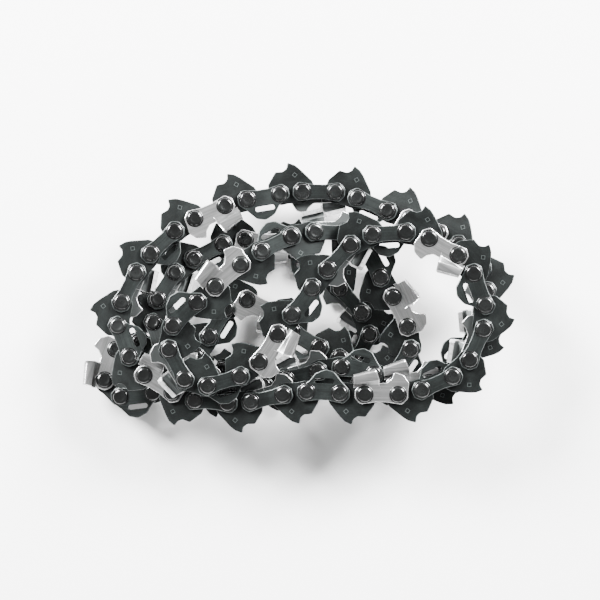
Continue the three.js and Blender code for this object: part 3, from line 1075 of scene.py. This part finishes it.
@dataclass
class ChainLoop:
    """The whole loop: every piece of the chain, in its place and on its body."""

    frame: dict[str, Any]
    pattern: tuple[tuple[Plate, Plate], ...] = (
        (Plate.CUTTER, Plate.TIE),
        (Plate.BUMPER, Plate.TIE),
        (Plate.TIE, Plate.CUTTER),
        (Plate.TIE, Plate.BUMPER),
    )
    loose_links: int = 11
    lobe_runs: tuple[Run, ...] = (
        Run("diagonal_run", 11, 3),
        Run("right_arm_1_outer_link", 14, 1),
        Run("right_arm_1_drive_link", 15, 1),
        Run("right_turn_run_1", 16, 2),
        Run("right_turn_run_2", 18, 2),
        Run("right_turn_run_3", 20, 3),
        Run("right_arm_2_drive_link", 23, 1),
        Run("right_arm_2_outer_link", 24, 1),
    )
    resting_start: int = 25
    resting_counts: tuple[int, ...] = (
        3, 5, 3, 4, 4, 4, 4, 4, 5, 4, 5, 3, 3, 4, 3, 2, 6, 3, 5, 5, 5, 3,
    )
    shift: Vector = field(init=False)
    rivets: list[Vector] = field(init=False)
    materials: dict[str, bpy.types.Material] = field(init=False)
    slots: dict[str, str] = field(init=False)
    nodes: dict[int, str] = field(init=False)
    meshes: dict[str, bpy.types.Mesh] = field(init=False)

    def __post_init__(self) -> None:
        """Lays the rivets, and makes one mesh for each kind of piece."""
        low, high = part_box("link_1_rear_rivet")
        rivets = Route().rivets()
        self.shift = (low + high) / 2 / MM - rivets[0]
        self.rivets = [rivet + self.shift for rivet in rivets]
        looks = finishes()
        self.materials = {kind: finish.material() for kind, finish in looks.items()}
        self.slots = {kind: finish.slot for kind, finish in looks.items()}
        self.nodes = self._nodes_of_links()
        self.meshes = self._meshes()

    def _meshes(self) -> dict[str, bpy.types.Mesh]:
        """One mesh for each kind of piece, in a link's frame."""
        outer = {Plate.TIE: TieStrap(), Plate.BUMPER: BumperStrap(), Plate.CUTTER: Cutter()}
        half = SIZES.outer_spacing / 2
        bodies = {
            f"{side.name.lower()}_{kind.value}": maker.body(side)
            for kind, maker in outer.items()
            for side in Side
        }
        bodies["drive_link"] = DriveLink().body()
        bodies["rear_rivet"] = Rivet().body(-half)
        bodies["front_rivet"] = Rivet().body(half)
        return {name: body.mesh(name) for name, body in bodies.items()}

    def _nodes_of_links(self) -> dict[int, str]:
        """The node that stands for each link that isn't loose."""
        runs = list(self.lobe_runs)
        first = self.resting_start
        for number, count in enumerate(self.resting_counts, 1):
            runs.append(Run(f"resting_run_{number:02d}", first, count))
            first += count
        return {
            link: run.node for run in runs for link in range(run.first, run.first + run.count)
        }

    def link_frame(self, link: int) -> Matrix:
        """The frame of a link, level across and along its two rivets, in metres."""
        start, end = self.rivets[link], self.rivets[(link + 1) % len(self.rivets)]
        along = (end - start).normalized()
        left = Vector((0, 0, 1)).cross(along).normalized()
        up = along.cross(left)
        matrix = Matrix((along, left, up)).transposed().to_4x4()
        matrix.translation = (start + end) / 2 * MM
        return matrix

    def kinds_of(self, link: int) -> list[tuple[str, str]]:
        """The kinds of piece in one link.

        Args:
            link: its number along the loop.

        Returns:
            The finish and the mesh of each piece.
        """
        if link % 2:
            return [("drive", "drive_link")]
        near, far = self.pattern[(link // 2) % len(self.pattern)]
        kinds = []
        for kind, side in ((near, Side.NEAR), (far, Side.FAR)):
            finish = "cutter" if kind is Plate.CUTTER else "strap"
            kinds.append((finish, f"{side.name.lower()}_{kind.value}"))
        return [*kinds, ("rivet", "rear_rivet"), ("rivet", "front_rivet")]

    def node_of(self, link: int, kind: str) -> str:
        """The node of the frame that a piece stands for."""
        if link >= self.loose_links:
            return self.nodes[link]
        number = link // 2 + 1
        return f"drive_link_{number}" if link % 2 else f"link_{number}_{kind}"

    def body_with(self, node: str) -> str:
        """The body that a node of the frame rides on."""
        groups = self.frame["record"]["behaviour"]["bodies"]
        return next(body for body, members in groups.items() if node in members)

    def stand(self, link: int, finish: str, kind: str) -> None:
        """Makes one piece, and puts it on its body in place of its node.

        Args:
            link: the link it is in.
            finish: the name of its finish.
            kind: the name of its mesh.
        """
        name = f"unit_{link // 2 + 1:02d}_{kind}"
        mesh = self.meshes[kind].copy()
        mesh.name = name
        mesh.materials.append(self.materials[finish])
        piece = bpy.data.objects.new(name, mesh)
        bpy.context.scene.collection.objects.link(piece)
        piece.matrix_world = self.link_frame(link)
        node = self.node_of(link, kind)
        body = self.body_with(node)
        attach(piece, body)
        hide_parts(node)
        LOG.info("%s: %d faces, on %s", name, len(mesh.polygons), body)

    def build(self) -> None:
        """Builds the whole loop."""
        for link in range(SIZES.links):
            for finish, kind in self.kinds_of(link):
                self.stand(link, finish, kind)


# -------------------------------------------------------------------------- the studio


@dataclass(frozen=True)
class Softbox:
    """A soft light: where it stands, how large it is, and how strong, in metres and watts."""

    name: str
    place: tuple[float, float, float]
    size: tuple[float, float]
    power: float

    def build(self, target: Vector) -> None:
        """Makes the light, looking at a target."""
        light = bpy.data.lights.new(self.name, "AREA")
        light.shape = "RECTANGLE"
        light.size, light.size_y = self.size
        light.energy = self.power
        lamp = bpy.data.objects.new(self.name, light)
        lamp.location = Vector(self.place)
        lamp.rotation_euler = (target - lamp.location).to_track_quat("-Z", "Y").to_euler()
        bpy.context.scene.collection.objects.link(lamp)


@dataclass
class Studio:
    """A pale floor, soft lights, and a camera that looks straight down on the heap."""

    floor_reach: float = 1.5
    floor_drop: float = 0.0002
    floor_tones: tuple[float, float] = (0.95, 0.97)
    floor_rough: float = 0.9
    target: tuple[float, float, float] = (0.0, 0.0, 0.01)
    clip: tuple[float, float] = (0.01, 20.0)
    lens: float = 180.0
    sensor: float = 36.0
    view_width: float = 172.7
    focus_height: float = 26.0
    centre: tuple[float, float] = (0.29, -2.0)
    softboxes: tuple[Softbox, ...] = (
        Softbox("left_softbox", (-0.5, 0.42, 0.5), (0.3, 0.3), 46.0),
        Softbox("right_softbox", (0.5, 0.42, 0.5), (0.3, 0.3), 46.0),
        Softbox("front_fill", (0.0, -0.9, 0.35), (1.2, 0.3), 6.0),
    )
    ambient: float = 0.35

    def build(self, shift: Vector) -> None:
        """Makes the studio round the heap.

        Args:
            shift: how far the heap stands from the route's own origin, in millimetres.
        """
        self._floor()
        for softbox in self.softboxes:
            softbox.build(Vector(self.target))
        world = bpy.data.worlds.new("studio_air")
        world.use_nodes = True
        air = world.node_tree.nodes["Background"]
        air.inputs["Color"].default_value = (1.0, 1.0, 1.0, 1.0)
        air.inputs["Strength"].default_value = self.ambient
        bpy.context.scene.world = world
        self._camera(shift)

    def _floor(self) -> None:
        """Makes the floor."""
        reach = self.floor_reach
        mesh = bpy.data.meshes.new("floor")
        spots = [(-reach, -reach, 0), (reach, -reach, 0), (reach, reach, 0), (-reach, reach, 0)]
        mesh.from_pydata(spots, [], [(0, 1, 2, 3)])
        graph = Graph("pale_floor")
        cloud = graph.noise((40.0, 40.0, 40.0), 2.0)
        tone = graph.mix(cloud, *(cool_grey(value) for value in self.floor_tones))
        inputs = {"Base Color": tone, "Roughness": self.floor_rough}
        shader = graph.node("ShaderNodeBsdfPrincipled", None, inputs)
        graph.node("ShaderNodeOutputMaterial", None, {"Surface": shader})
        mesh.materials.append(graph.material)
        floor = bpy.data.objects.new("floor", mesh)
        floor.location.z = -self.floor_drop
        bpy.context.scene.collection.objects.link(floor)

    def _camera(self, shift: Vector) -> None:
        """Makes the camera."""
        camera = bpy.data.cameras.new("camera")
        camera.lens, camera.sensor_width = self.lens, self.sensor
        camera.clip_start, camera.clip_end = self.clip
        eye = bpy.data.objects.new("camera", camera)
        height = self.focus_height + self.view_width * self.lens / self.sensor
        x, y = self.centre[0] + shift.x, self.centre[1] + shift.y
        eye.location = Vector((x, y, height)) * MM
        bpy.context.scene.collection.objects.link(eye)
        bpy.context.scene.camera = eye


def corners(box: tuple[Vector, Vector]) -> list[list[float]]:
    """A box as plain lists of numbers."""
    return [list(corner) for corner in box]


def main() -> None:
    """Builds the chain round its frame, and the studio around it."""
    logging.basicConfig(level=logging.INFO, format="%(name)s %(message)s")
    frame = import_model()
    loop = ChainLoop(frame)
    loop.build()
    Studio().build(loop.shift)
    bpy.context.view_layer.update()


if __name__ == "__main__":
    main()
